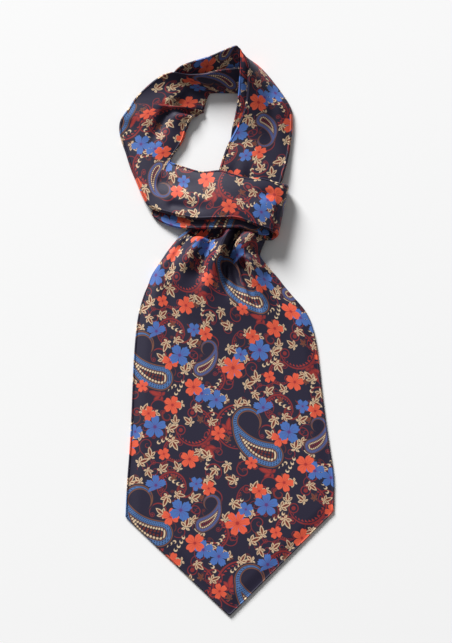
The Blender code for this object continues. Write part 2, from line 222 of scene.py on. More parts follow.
# Folds: height (a trough is negative), half width, and the line each one follows from where it is
# strongest to where it dies out.
BLADE_FOLDS = {
    "dark pocket under the knot": (
        -30, 3.4, ((-6, 70), (-14, 70.5), (-26, 72), (-48, 75)),
    ),
    "middle pleat": (3.5, 2.4, ((1, 68), (-3.5, 58), (-7, 50), (-12, 40))),
    "centre valley": (
        -30, 2, ((11, 84), (10.5, 73), (4.8, 63), (0.6, 53), (-1.6, 42), (1, 12)),
    ),
    "centre hollow": (-10, 5, ((5, 49), (6.5, 38), (10, 24), (15, 6))),
    "right pleat": (3, 4, ((19, 66), (16, 60), (13, 52))),
    "right pocket": (-26, 1.9, ((12.4, 45), (16, 34), (20.6, 20), (28, 2))),
    "right wing ridge": (5, 3.6, ((19, 46), (23.5, 30), (36, 6))),
    "right wing trough": (-3.5, 5, ((33, 36), (38, 24), (48, 4))),
    "left pleat": (3.5, 4.5, ((-19, 68), (-24, 58), (-31, 46), (-44, 14))),
    "left edge trough": (-3.5, 4.5, ((-32, 62), (-41, 46), (-54, 20))),
    "left diagonal trough": (-6.5, 5.5, ((-12, 62), (-17.5, 46), (-26, 20))),
    "left diagonal ridge": (3.5, 4.5, ((-8, 48), (-11, 36), (-20, 8))),
    "lower left trough": (-2.5, 7, ((-44, 22), (-38, 2), (-28, -20))),
    "lower right trough": (-2.5, 7, ((45, 26), (52, 6), (58, -18))),
}
LOOP_FOLDS = {
    "buckle beside the hole": (
        -6.5, 1.9, ((-18, 171.2), (-30, 170.9), (-40, 170.8), (-54, 168)),
    ),
    "valley from the buckle": (
        -4, 4, ((-47, 170), (-51, 161), (-58, 148), (-66, 136)),
    ),
    "lobe's swell": (1.5, 7, ((-36, 168), (-44, 156), (-54, 138))),
    "left lobe crease": (-1.6, 5, ((-76, 160), (-70, 142), (-60, 122))),
    "wrap's upper crease": (-1.4, 4.5, ((-52, 112), (-34, 108), (-8, 106))),
    "wrap's lower crease": (-1.5, 3.5, ((-42, 92), (-20, 88), (8, 86))),
    "wrap's right crease": (-1.6, 4, ((34, 98), (20, 96), (2, 98))),
    "back of the neck's crease": (-1.8, 5, ((-6, 196), (-26, 193), (-46, 186))),
}
RIGHT_BAND_FOLDS = {
    "long crease": (-1.8, 5, ((34, 186), (37, 166), (35, 142), (26, 118))),
    "gather at the knot": (-2, 4, ((16, 104), (19, 120), (24, 136))),
    "gather beside the hole": (-1.6, 3.5, ((2, 108), (6, 122), (12, 140))),
    "swell at the shoulder": (1.4, 7, ((44, 176), (46, 156), (42, 130))),
}


# The shape of the cloth


def smoothstep(value):
    """0 to 1 in a soft S, and flat beyond both ends."""
    value = np.clip(value, 0.0, 1.0)
    return value * value * (3.0 - 2.0 * value)


def rows_at(table, place):
    """Rows read along a Catmull-Rom curve through the rows of a table."""
    rows = np.array(table, float)
    padded = np.vstack([2 * rows[0] - rows[1], rows, 2 * rows[-1] - rows[-2]])
    start = np.minimum(place.astype(int), len(rows) - 2)
    part = (place - start)[:, None]
    before, first, second, after = (padded[start + step] for step in range(4))
    return 0.5 * (
        2 * first
        + (second - before) * part
        + (2 * before - 5 * first + 4 * second - after) * part**2
        + (3 * first - before - 3 * second + after) * part**3
    )


def even_rows(table, names, spacing, ends):
    """The columns of a table by name, at rows this far apart, measured along the two named ends."""
    fine = np.linspace(0.0, len(table) - 1.0, FINE_STEPS * len(table))
    rows = rows_at(table, fine)
    middle = np.zeros((len(fine), 2))
    for end in ends:
        middle += rows[:, [names.index(end + " x"), names.index(end + " y")]] / len(ends)
    if "point" in names:
        middle[:, 1] -= rows[:, names.index("point")]
    run = np.concatenate([[0.0], np.cumsum(np.linalg.norm(np.diff(middle, axis=0), axis=1))])
    count = int(round(run[-1] / spacing)) + 1
    place = np.interp(np.linspace(0.0, run[-1], count), run, fine)
    return dict(zip(names, rows_at(table, place)[:, None, :].transpose(2, 0, 1)))


def band_grid(table, wall, folds=None, columns=None):
    """Top side of a band, held in from its edges by as much as the rounded edges will add."""
    at = even_rows(table, BAND_COLUMN_NAMES, BAND_SPACING, ("inner", "outer"))
    across_run = np.hypot(at["outer x"] - at["inner x"], at["outer y"] - at["inner y"])
    across_run = np.hypot(across_run, at["outer z"] - at["inner z"])
    if columns is None:
        columns = int(across_run.max() / BAND_SPACING) + 1
    inset = 0.5 * wall / across_run
    across = inset + (1.0 - 2.0 * inset) * np.linspace(0.0, 1.0, columns)[None, :]
    inner, outer = ([at[f"{side} {axis}"] for axis in "xyz"] for side in ("inner", "outer"))
    x, y, z = (start + (end - start) * across for start, end in zip(inner, outer))
    z = z + at["crown"] * 4 * across * (1 - across)
    if folds:
        z = z + fold_height(x, y, folds)
    return np.stack([x, y, z], axis=-1)


def fold_height(x, y, folds):
    """Height that the folds add at each point."""
    total = np.zeros_like(x)
    for height, half_width, line in folds.values():
        line = np.array(line, float)
        steps = np.linalg.norm(np.diff(line, axis=0), axis=1)
        before = np.concatenate([[0.0], np.cumsum(steps)])
        nearest = np.full_like(x, np.inf)
        along = np.zeros_like(x)
        for index, (start, end) in enumerate(zip(line[:-1], line[1:])):
            run = end - start
            share = ((x - start[0]) * run[0] + (y - start[1]) * run[1]) / (run @ run)
            share = np.clip(share, 0.0, 1.0)
            away = np.hypot(x - start[0] - share * run[0], y - start[1] - share * run[1])
            closer = away < nearest
            nearest = np.where(closer, away, nearest)
            along = np.where(closer, (before[index] + share * steps[index]) / before[-1], along)
        spread = half_width * (1.0 + FOLD_WIDENING * along)
        total += height * np.exp(-((nearest / spread) ** 2)) * (1.0 - smoothstep(along))
    return total


def upward_normals(grid):
    """Unit normals of a grid of points, on the side that faces up where the grid lies flat."""
    normals = np.cross(np.gradient(grid, axis=0), np.gradient(grid, axis=1))
    normals /= np.linalg.norm(normals, axis=2, keepdims=True)
    return normals if normals[0, 0, 2] > 0 else -normals


def wall_below(top, thickness):
    """Lower side of a wall that is this thick, straight below its top side and never under the surface."""
    rise = np.maximum(upward_normals(top)[..., 2], STEEPEST)
    bottom = top.copy()
    bottom[..., 2] = np.maximum(top[..., 2] - thickness / rise, FLOOR_CLEARANCE)
    return bottom


def flat_places(grid):
    """Where each point of a grid was on the flat cloth: run across it, then run along it."""
    along = np.linalg.norm(np.diff(grid, axis=0), axis=2).mean(axis=1)
    along = np.concatenate([[0.0], np.cumsum(along)])[:, None] + np.zeros(grid.shape[:2])
    across = np.linalg.norm(np.diff(grid, axis=1), axis=2)
    across = np.concatenate([np.zeros((len(grid), 1)), np.cumsum(across, axis=1)], axis=1)
    return np.stack([across - 0.5 * across[:, -1:], along], axis=-1)


def front_blade_sides():
    """Top and bottom grids of the front blade, and where its points were on the flat cloth."""
    at = even_rows(FRONT_BLADE, BLADE_COLUMN_NAMES, BLADE_SPACING, ("left", "right"))
    left, right = at["left x"] + 0.5 * FRONT_WALL, at["right x"] - 0.5 * FRONT_WALL
    width = right - left
    columns = int(width.max() / BLADE_SPACING) + 1
    share = np.linspace(0.0, 1.0, columns)[None, :]
    tent = 1.0 - np.abs(2.0 * share - 1.0)
    x = left + width * share
    y = at["left y"] + (at["right y"] - at["left y"]) * share - at["point"] * tent
    lift = at["left lift"] + (at["right lift"] - at["left lift"]) * share
    lift = lift + at["crown"] * np.sqrt(4 * share * (1 - share))

    from_side = np.minimum(share, 1.0 - share) * width
    from_point = (y - y[-1]) * np.sqrt(0.5)
    from_edge = np.minimum(from_side, from_point)
    inside = smoothstep((from_edge - REST_RIM) / (EDGE_RISE - REST_RIM))
    shelf = SHELF_HEIGHT
    for place, start, end in zip((x, y), SHELF_START, SHELF_END):
        shelf = shelf * smoothstep((place - start) / (end - start))
    lift = np.maximum(lift + fold_height(x, y, BLADE_FOLDS) * inside, shelf)
    over_rear = OVER_REAR * inside * smoothstep((REAR_ENDS - y) / REAR_FADE)
    bottom = np.stack([x, y, np.maximum(lift, 0.0) + over_rear + FLOOR_CLEARANCE], axis=-1)
    top = bottom.copy()
    top[..., 2] += FRONT_WALL / np.maximum(upward_normals(bottom)[..., 2], STEEPEST)
    gathered = np.sqrt(width * width.max())
    flat = np.stack([(share - 0.5) * gathered + 0.5 * (left + right)[-1], y], axis=-1)
    return top, bottom, flat


def rear_blade_sides():
    """Top and bottom grids of the rear blade: a plain flat end, inset all round under the front one."""
    kept = tuple(row for row in FRONT_BLADE if row[1] < REAR_ROWS_BELOW)
    at = even_rows(kept, BLADE_COLUMN_NAMES, REAR_SPACING, ("left", "right"))
    left = at["left x"] + REAR_INSET + 0.5 * REAR_WALL
    right = at["right x"] - REAR_INSET - 0.5 * REAR_WALL
    columns = int((right - left).max() / REAR_SPACING) + 1
    share = np.linspace(0.0, 1.0, columns)[None, :]
    tent = 1.0 - np.abs(2.0 * share - 1.0)
    x = left + (right - left) * share
    y = at["left y"] + (at["right y"] - at["left y"]) * share - at["point"] * tent
    y = y + REAR_TIP_INSET * at["point"] / at["point"][-1]
    bottom = np.stack([x, y, np.full_like(x, FLOOR_CLEARANCE)], axis=-1)
    return bottom + (0.0, 0.0, REAR_WALL), bottom, np.stack([x, y], axis=-1)


def back_and_left_grid():
    """Top side of the loop from its peak over the back of the neck to the wrap's right end. Beside the
    hole the left stretch ends in a rounded edge over the back of the neck. Further out it runs through."""
    left = band_grid(LEFT_BAND_AND_WRAP, BAND_WALL, LOOP_FOLDS)
    back = band_grid(BACK_BAND, BAND_WALL, LOOP_FOLDS, left.shape[1])
    across = np.linspace(0.0, 1.0, left.shape[1])[None, :]
    runs_through = smoothstep((across - LAP_FULL) / (LAP_ENDS - LAP_FULL))
    from_the_lap = np.linalg.norm(back[..., :2] - back[:1, :, :2], axis=2)
    step_up = left[:1, :, 2] - back[:1, :, 2]
    back[..., 2] += step_up * runs_through * (1.0 - smoothstep(from_the_lap / LAP_FADE))
    lap = []
    for step in range(1, LAP_STEPS + 1):
        angle = 0.5 * np.pi * step / (LAP_STEPS + 1)
        row = back[0] + (left[0] - back[0]) * (1.0 - np.cos(angle))
        row[:, 2] = back[0, :, 2] + (left[0, :, 2] - back[0, :, 2]) * np.sin(angle)
        lap.append(row)
    return np.concatenate([back[::-1], lap, left])


def loop_and_wrap_sides():
    """Outer and inner grids of the loop's back and left and of the knot wrap, its rounded fold at the
    right, and the layer that runs back under the knot."""
    over = back_and_left_grid()
    last = over[-1]
    down_the_fold = np.linspace(0.0, 1.0, over.shape[1])
    outer = [over]
    for step in range(1, FOLD_STEPS + 1):
        angle = np.pi * step / FOLD_STEPS
        row = last.copy()
        row[:, 0] += FOLD_BULGE * np.sin(angle)
        row[:, 1] -= RETURN_DROP * down_the_fold * (step / FOLD_STEPS) ** 2
        row[:, 2] = FLOOR_CLEARANCE + (last[:, 2] - FLOOR_CLEARANCE) * 0.5 * (1 + np.cos(angle))
        outer.append(row[None])
    for step in range(1, RETURN_STEPS + 1):
        row = outer[FOLD_STEPS][0].copy()
        row[:, 0] -= RETURN_LENGTH * step / RETURN_STEPS
        row[:, 2] = FLOOR_CLEARANCE
        outer.append(row[None])
    outer = np.concatenate(outer)
    inner = outer - upward_normals(outer) * BAND_WALL
    inner[..., 2] = np.maximum(inner[..., 2], FLOOR_CLEARANCE)
    inner[: len(over) - 1] = wall_below(over, BAND_WALL)[:-1]
    return outer, inner, flat_places(outer)


def band_sides(table, wall, folds=None):
    """Top and bottom grids of one plain stretch of the band."""
    top = band_grid(table, wall, folds)
    return top, wall_below(top, wall), flat_places(top)


def border_of(rows, columns):
    """Places of a grid's edge, in order all round."""
    border = [(0, j) for j in range(columns)]
    border += [(i, columns - 1) for i in range(1, rows)]
    border += [(rows - 1, j) for j in range(columns - 2, -1, -1)]
    border += [(i, 0) for i in range(rows - 2, 0, -1)]
    return np.array(border)


def outward(grid, border):
    """Unit directions in which the cloth ends, at each place of its edge."""
    rows, columns = grid.shape[:2]
    inner = np.clip(border, 1, (rows - 2, columns - 2))
    way = grid[border[:, 0], border[:, 1]] - grid[inner[:, 0], inner[:, 1]]
    return way / np.linalg.norm(way, axis=1, keepdims=True)


def cloth(name, sides, material, flat_origin):
    """One closed wall of cloth between two grids of points, with rounded edges all round."""
    top, bottom, flat = sides
    rows, columns = top.shape[:2]
    border = border_of(rows, columns)
    edge_top = top[border[:, 0], border[:, 1]]
    edge_bottom = bottom[border[:, 0], border[:, 1]]
    way = outward(top, border)
    flat_way = outward(flat, border)
    half = 0.5 * (edge_top - edge_bottom)
    bulge = np.linalg.norm(half, axis=1, keepdims=True)

    points = [top.reshape(-1, 3), bottom.reshape(-1, 3)]
    flats = [flat.reshape(-1, 2), flat.reshape(-1, 2)]
    for step in range(1, EDGE_STEPS + 1):
        angle = np.pi * step / (EDGE_STEPS + 1)
        ring = 0.5 * (edge_top + edge_bottom) + np.cos(angle) * half + np.sin(angle) * bulge * way
        ring[:, 2] = np.maximum(ring[:, 2], FLOOR_CLEARANCE)
        points.append(ring)
        flats.append(flat[border[:, 0], border[:, 1]] + angle * bulge * flat_way)
    points = np.concatenate(points)
    flats = np.concatenate(flats) + flat_origin

    index = np.arange(rows * columns).reshape(rows, columns)
    corners = (index[:-1, :-1], index[1:, :-1], index[1:, 1:], index[:-1, 1:])
    quads = np.stack(corners, axis=-1).reshape(-1, 4)
    faces = [quads, quads[:, ::-1] + rows * columns]
    rings = [index[border[:, 0], border[:, 1]]]
    first_ring = 2 * rows * columns + np.arange(len(border))
    rings += [first_ring + step * len(border) for step in range(EDGE_STEPS)]
    rings.append(rings[0] + rows * columns)
    for upper, lower in zip(rings[:-1], rings[1:]):
        faces.append(np.stack([np.roll(upper, -1), upper, lower, np.roll(lower, -1)], axis=-1))
    faces = np.concatenate(faces)

    across = np.cross(top[1, 0] - top[0, 0], top[0, 1] - top[0, 0])
    if across[2] < 0:
        faces = faces[:, ::-1]
    mesh = bpy.data.meshes.new(name)
    mesh.from_pydata(((points + PLACE) * MM).tolist(), [], faces.tolist())
    mesh.validate()
    mesh.shade_smooth()
    place = mesh.attributes.new("cloth_mm", "FLOAT_VECTOR", "POINT")
    place.data.foreach_set("vector", np.column_stack([flats, np.zeros(len(flats))]).ravel())
    mesh.materials.append(material)
    piece = bpy.data.objects.new(name, mesh)
    bpy.context.scene.collection.objects.link(piece)
    return piece


# The print


def linear(red, green, blue):
    """A colour in sRGB, 0 to 255, as the shader takes it."""
    parts = [value / 255.0 for value in (red, green, blue)]
    return tuple(p / 12.92 if p <= 0.04045 else ((p + 0.055) / 1.055) ** 2.4 for p in parts) + (1.0,)


NAVY = linear(36, 32, 53)
ORANGE = linear(226, 92, 64)
DEEP_ORANGE = linear(166, 48, 46)
BLUE = linear(72, 110, 178)
MAUVE = linear(92, 58, 120)
PALE_BLUE = linear(78, 114, 166)
LILAC_BLUE = linear(90, 100, 152)
BRICK = linear(136, 44, 46)
DEEP_RED = linear(160, 52, 48)
RUST = linear(112, 46, 38)
CREAM = linear(222, 194, 158)
TAN = linear(122, 78, 60)

# The repeat: columns this far apart, each one dropped by half of the height of the repeat
REPEAT_WIDTH = 85.0
REPEAT_HEIGHT = 120.0
PRINT_EDGE = 0.45


class Field:
    """A number at every point of the cloth, worked out by a node."""

    def __init__(self, tree, socket):
        self.tree = tree
        self.socket = socket

    def math(self, operation, *others):
        return math_node(self.tree, operation, self, *others)

    def __add__(self, other):
        return self.math("ADD", other)

    __radd__ = __add__

    def __sub__(self, other):
        return self.math("SUBTRACT", other)

    def __rsub__(self, other):
        return math_node(self.tree, "SUBTRACT", other, self)

    def __mul__(self, other):
        return self.math("MULTIPLY", other)

    __rmul__ = __mul__

    def __truediv__(self, other):
        return self.math("DIVIDE", other)

    def __abs__(self):
        return self.math("ABSOLUTE")

    def __pow__(self, other):
        return self.math("POWER", other)

    def lower(self, other):
        return self.math("MINIMUM", other)

    def higher(self, other):
        return self.math("MAXIMUM", other)

    def cos(self):
        return self.math("COSINE")

    def above(self, other):
        return self.math("GREATER_THAN", other)


def math_node(tree, operation, *values):
    """A Math node on fields and plain numbers."""
    node = tree.nodes.new("ShaderNodeMath")
    node.operation = operation
    for socket, value in zip(node.inputs, values):
        if isinstance(value, Field):
            tree.links.new(value.socket, socket)
        else:
            socket.default_value = value
    return Field(tree, node.outputs[0])


def fields(tree, given, *labels):
    """A group's own inputs."""
    return [Field(tree, given.outputs[label]) for label in labels]


def length(x, y):
    return (x * x + y * y).math("SQRT")


def angle_of(x, y):
    return y.math("ARCTAN2", x)


def painted(tree, below, colour, depth, size, strength=1.0):
    """A colour over what is below it, where a shape's depth is above 0, with an edge as soft as the
    print's. Both colours are sockets or four numbers. The Mix node clamps the mask."""
    mask = (depth * size).math("MULTIPLY_ADD", 1.0 / PRINT_EDGE, 0.5)
    if strength < 1.0:
        mask = mask.lower(1.0) * strength
    node = tree.nodes.new("ShaderNodeMix")
    node.data_type = "RGBA"
    tree.links.new(mask.socket, node.inputs["Factor"])
    for name, value in (("A", below), ("B", colour)):
        socket = next(s for s in node.inputs if s.name == name and s.type == "RGBA")
        if isinstance(value, tuple):
            socket.default_value = value
        else:
            tree.links.new(value, socket)
    return next(s for s in node.outputs if s.type == "RGBA")


PLACING_INPUTS = tuple(
    (label, "NodeSocketFloat")
    for label in ("Cloth x", "Cloth y", "Centre x", "Centre y", "Step x", "Step y", "Turn", "Size", "Flip")
)
COLOUR_INPUTS = tuple((label, "NodeSocketColor") for label in ("Below", "Ink", "Deep ink"))


def new_group(name, inputs, outputs):
    tree = bpy.data.node_groups.new(name, "ShaderNodeTree")
    for label, kind in inputs:
        tree.interface.new_socket(label, in_out="INPUT", socket_type=kind)
    for label, kind in outputs:
        tree.interface.new_socket(label, in_out="OUTPUT", socket_type=kind)
    return tree, tree.nodes.new("NodeGroupInput"), tree.nodes.new("NodeGroupOutput")


def placing_group():
    """From a place on the cloth to the nearest repeat of a motif, in its own directions and size."""
    tree, given, result = new_group(
        "Placing", PLACING_INPUTS, (("X", "NodeSocketFloat"), ("Y", "NodeSocketFloat"))
    )
    labels = [label for label, _ in PLACING_INPUTS]
    x, y, centre_x, centre_y, step_x, step_y, turn, size, flip = fields(tree, given, *labels)
    x = x - centre_x
    y = y - centre_y
    column = (x / step_x).math("ROUND")
    x = x - column * step_x
    y = y - column * (step_y * 0.5)
    y = y.math("WRAP", step_y * 0.5, step_y * -0.5)
    cosine, sine = turn.cos(), turn.math("SINE")
    own_x = (x * cosine + y * sine) / size
    own_y = (y * cosine - x * sine) / size * flip
    tree.links.new(own_x.socket, result.inputs["X"])
    tree.links.new(own_y.socket, result.inputs["Y"])
    return tree


def motif_group(name, placing, draw, more_inputs=()):
    """A node group that paints one motif over what is below it."""
    tree, given, result = new_group(
        name, PLACING_INPUTS + COLOUR_INPUTS + tuple(more_inputs), (("Colour", "NodeSocketColor"),)
    )
    placed = tree.nodes.new("ShaderNodeGroup")
    placed.node_tree = placing
    for label, _ in PLACING_INPUTS:
        tree.links.new(given.outputs[label], placed.inputs[label])
    x, y = Field(tree, placed.outputs["X"]), Field(tree, placed.outputs["Y"])
    size = Field(tree, given.outputs["Size"])
    colour = draw(tree, given, x, y, size)
    tree.links.new(colour, result.inputs["Colour"])
    return tree


# The flower, in shares of its radius
PETAL_ROOT = 0.26
PETAL_REACH = 0.70
PETAL_BLUNTNESS = 0.55
NOTCH_SHARPNESS = 14.0
FRINGE_TEETH = 5.0
SIDE_VIEW_CUT = 1.3
BETWEEN_PETALS = 0.04
EYE_RADIUS = 0.13
VEIN_HALF = 0.025
VEIN_PLACE = 0.85
VEIN_END = 0.60
VEIN_STRENGTH = 0.45


def draw_flower(tree, given, x, y, size):
    """Broad petals round a small eye, notched or fringed at their tips. The size is its radius."""
    petals, notch, fringe, half = fields(tree, given, "Petals", "Notch", "Fringe", "Half")
    out = length(x, y)
    angle = angle_of(x, y)
    wave = abs((angle * petals * 0.5).cos())
    reach = PETAL_ROOT + PETAL_REACH * wave**PETAL_BLUNTNESS - notch * wave**NOTCH_SHARPNESS
    reach = reach + fringe * (angle * petals * FRINGE_TEETH).cos()
    side_view = y + SIDE_VIEW_CUT - half
    petal = (reach - out).lower(side_view)
    colour = painted(tree, given.outputs["Below"], given.outputs["Ink"], petal, size)
    between = (BETWEEN_PETALS - wave * out).lower(petal)
    colour = painted(tree, colour, given.outputs["Deep ink"], between, size)
    vein = (VEIN_HALF - abs(wave - VEIN_PLACE) * out).lower(VEIN_END - out).lower(petal)
    colour = painted(tree, colour, given.outputs["Deep ink"], vein, size, VEIN_STRENGTH)
    return painted(tree, colour, given.outputs["Deep ink"], (EYE_RADIUS - out).lower(petal), size)


def lens(along, side, run, half_width):
    """Depth inside a pointed oval that runs this far from the origin."""
    share = along * (1.0 / run)
    return share * (1.0 - share) * (4.0 * half_width) - abs(side)


def turned(x, y, degrees):
    """The same place, as seen from a direction turned by this angle."""
    cosine, sine = math.cos(math.radians(degrees)), math.sin(math.radians(degrees))
    return x * cosine + y * sine, y * cosine - x * sine


# The leaf, in shares of its length. The side lobes are given by where they start, which way they point
# in degrees, their length and their half width.
LEAF_HALF = 0.19
SIDE_LOBES = ((0.12, 52.0, 0.58, 0.15), (0.05, 112.0, 0.36, 0.11))
LEAF_TEETH = 9.0
LEAF_TOOTH = 0.045
LEAF_HEART = 0.07


def draw_leaf(tree, given, x, y, size):
    """An ivy leaf of five pointed lobes, pale round a rust heart. The size is its length."""
    mirrored = abs(y)
    lobes = lens(x, y, 1.0, LEAF_HALF)
    for start, degrees, run, half_width in SIDE_LOBES:
        lobe_x, lobe_y = turned(x - start, mirrored, degrees)
        lobes = lobes.higher(lens(lobe_x, lobe_y, run, half_width))
    lobes = lobes - ((x + mirrored) * LEAF_TEETH).math("FRACT") * LEAF_TOOTH
    colour = painted(tree, given.outputs["Below"], given.outputs["Ink"], lobes, size)
    return painted(tree, colour, given.outputs["Deep ink"], lobes - LEAF_HEART, size)


# The curls, in shares of the distance between two
ROW_BEND = 0.06
CRESCENT = 0.40
BITE = 0.30
BITE_PLACE = (0.20, 0.12)


def draw_curls(tree, given, x, y, size):
    """A short bent row of small crescents. The size is the distance between two of them."""
    most = Field(tree, given.outputs["Count"]) - 1.0
    y = y - x * x * ROW_BEND
    own_x = x - x.math("ROUND").higher(0.0).lower(most)
    bite = length(own_x - BITE_PLACE[0], y - BITE_PLACE[1]) - BITE
    crescent = (CRESCENT - length(own_x, y)).lower(bite)
    return painted(tree, given.outputs["Below"], given.outputs["Ink"], crescent, size)


# Arches and scrolls less leafy than this have no leaves at all
LEAST_LEAFY = 0.1

# The arch, in radians and in shares of its radius
ARCH_END = 2.3
ARCH_CURL = 0.24
CURL_WEIGHT = 0.55
CURL_EYE = 0.11
ARCH_THINNEST = 0.45
ARCH_TEETH = 4.5
LEAVES_END = 0.98
LEAVES_START = 0.94


def draw_arch(tree, given, x, y, size):
    """A stroke bent into a C, swelling in the middle, leafy inside, with a curl at each end. The size is
    its radius."""
    leafy, weight = fields(tree, given, "Leafy", "Weight")
    out = length(x, y)
    angle = abs(angle_of(x, y))
    middle = (1.0 - angle * (1.0 / ARCH_END)).higher(0.0)
    half = weight * (ARCH_THINNEST + middle)
    tooth = (angle * ARCH_TEETH).math("FRACT") * leafy * middle**0.5
    stroke = (half - abs(out - 1.0)).lower(ARCH_END - angle)
    leaves = (out - LEAVES_END + half + tooth).lower(LEAVES_START - half - out).lower(ARCH_END - angle)
    leaves = leaves.lower(leafy * (1.0 / LEAST_LEAFY) - 1.0)
    curl_x = x - (1.0 - ARCH_CURL) * math.cos(ARCH_END)
    curl_y = abs(y) - (1.0 - ARCH_CURL) * math.sin(ARCH_END)
    from_curl = length(curl_x, curl_y)
    curl = (weight * CURL_WEIGHT - abs(from_curl - ARCH_CURL)).higher(CURL_EYE - from_curl)
    colour = painted(tree, given.outputs["Below"], given.outputs["Ink"], stroke.higher(curl), size)
    return painted(tree, colour, given.outputs["Deep ink"], leaves, size)


# The scroll's weight: at its ends, how much it swells between them, and how much of it is left at its
# heart. Its leaves per radian, how fast its ends sharpen, and the share of its weight that is inlaid.
SCROLL_ENDS = 0.35
SCROLL_SWELL = 0.8
SCROLL_HEART = 0.35
SCROLL_TEETH = 5.0
SCROLL_SHARPENS = 4.0
SCROLL_INLAY = 0.35
SCROLL_CENTRE = 0.001


def draw_scroll(tree, given, x, y, size):
    """A spiral stroke that swells and thins, leafy on its outer side. The size is its outer radius."""
    tightness, turns, weight, leafy = fields(tree, given, "Tightness", "Turns", "Weight", "Leafy")
    out = length(x, y)
    angle = angle_of(x, y)
    wanted = out.higher(SCROLL_CENTRE).math("LOGARITHM", math.e) / (tightness * -1.0)
    lap = ((wanted - angle) / math.tau).math("ROUND").higher(0.0)
    place = angle + lap * math.tau
    here = (place * tightness * -1.0).math("EXPONENT")
    share = place / (turns * math.tau)
    swell = (share * math.pi).math("SINE").higher(0.0) * SCROLL_SWELL + SCROLL_ENDS
    teeth = (place * SCROLL_TEETH).math("FRACT") * leafy * (out - here).above(0.0)
    half = weight * swell * (1.0 + teeth) * (SCROLL_HEART + (1.0 - SCROLL_HEART) * here)
    within = share.lower(1.0 - share) * SCROLL_SHARPENS
    on_line = (half - abs(out - here)).lower(within)
    colour = painted(tree, given.outputs["Below"], given.outputs["Ink"], on_line, size)
    inside_line = (half * SCROLL_INLAY - abs(out - here)).lower(within)
    inside_line = inside_line.lower(leafy * (1.0 / LEAST_LEAFY) - 1.0)
    return painted(tree, colour, given.outputs["Deep ink"], inside_line, size)


# The paisley, in millimetres and radians. Its bands and rows of dots are placed by how deep they lie
# inside its outline. A row of dots has its spacing, its depth and the radius of a dot.
PAISLEY_ARC = 32.0
PAISLEY_BODY = 9.8
PAISLEY_NECK = 2.6
PAISLEY_ANGLE = 1.15
PAISLEY_TAPER = 1.7
PAISLEY_ROUND_END = 40.0
HOOK_RADIUS = 10.0
HOOK_TURN = 4.0
HOOK_TAPER = 0.6
CLEAR_ROUND = 1.0
RIM_BAND = (0.0, 0.75)
INK_BAND = (1.15, 4.4)
LINE_BAND = (4.6, 5.1)
SMALL_DOTS = (1.7, 2.8, 0.42)
BETWEEN_SMALL_DOTS = 0.75
BEADS = (2.3, 6.2, 0.85)
SEEDS = (2.8, 8.3, 0.85)
SEEDS_FROM = 7.0


def draw_paisley(tree, given, x, y, size):
    """A drop on a bent spine, in bands that follow its outline. Its neck bends on into a hook. At size 1
    its unit is the millimetre, and its origin is the middle of the spine's arc."""
    out = length(x, y)
    angle = angle_of(x, y)
    share = (angle * (1.0 / PAISLEY_ANGLE)).higher(0.0).lower(1.0)
    half = PAISLEY_BODY - (PAISLEY_BODY - PAISLEY_NECK) * share**PAISLEY_TAPER
    past_the_neck = (angle - PAISLEY_ANGLE).higher(0.0) * PAISLEY_ARC
    before_the_body = (angle * -PAISLEY_ROUND_END).higher(0.0)
    body = half - abs(out - PAISLEY_ARC) - past_the_neck - before_the_body
    body = body.higher(PAISLEY_BODY - length(x - PAISLEY_ARC, y))

    hook_x = x - (PAISLEY_ARC - HOOK_RADIUS) * math.cos(PAISLEY_ANGLE)
    hook_y = y - (PAISLEY_ARC - HOOK_RADIUS) * math.sin(PAISLEY_ANGLE)
    hook_out = length(hook_x, hook_y)
    hook_angle = (angle_of(hook_x, hook_y) - PAISLEY_ANGLE).math("WRAP", math.tau, 0.0)
    hook_half = PAISLEY_NECK * (1.0 - hook_angle * (1.0 / HOOK_TURN)).higher(0.0) ** HOOK_TAPER
    hook = (hook_half - abs(hook_out - HOOK_RADIUS)).lower(HOOK_TURN - hook_angle)
    depth = body.higher(hook)

    run = angle * PAISLEY_ARC

    def band(start, end):
        return (depth - start).lower(end - depth)

    def dots(spacing, across, radius):
        along = ((run * (1.0 / spacing)).math("FRACT") - 0.5) * spacing
        return radius - length(along, across)

    clear = (depth + CLEAR_ROUND).higher(HOOK_RADIUS - hook_out)
    colour = painted(tree, given.outputs["Below"], NAVY, clear, size)
    colour = painted(tree, colour, TAN, band(*RIM_BAND), size)
    colour = painted(tree, colour, given.outputs["Ink"], band(*INK_BAND), size)
    spacing, middle, radius = SMALL_DOTS
    dot = dots(spacing, abs(depth - middle) - BETWEEN_SMALL_DOTS, radius).lower(band(*INK_BAND))
    colour = painted(tree, colour, NAVY, dot, size)
    colour = painted(tree, colour, TAN, band(*LINE_BAND), size)
    spacing, middle, radius = BEADS
    bead = dots(spacing, depth - middle, radius).lower(depth - LINE_BAND[1])
    colour = painted(tree, colour, CREAM, bead, size)
    spacing, middle, radius = SEEDS
    seed = dots(spacing, depth - middle, radius).lower(depth - SEEDS_FROM)
    return painted(tree, colour, given.outputs["Deep ink"], seed, size)


def print_groups():
    """The motifs' node groups by name."""
    placing = placing_group()
    number = "NodeSocketFloat"
    flower_inputs = ("Petals", "Notch", "Fringe", "Half")
    scroll_inputs = ("Tightness", "Turns", "Weight", "Leafy")
    return {
        "flower": motif_group("Flower", placing, draw_flower, [(label, number) for label in flower_inputs]),
        "leaf": motif_group("Leaf", placing, draw_leaf),
        "curls": motif_group("Curls", placing, draw_curls, [("Count", number)]),
        "arch": motif_group("Arch", placing, draw_arch, [("Leafy", number), ("Weight", number)]),
        "scroll": motif_group("Scroll", placing, draw_scroll, [(label, number) for label in scroll_inputs]),
        "paisley": motif_group("Paisley", placing, draw_paisley),
    }


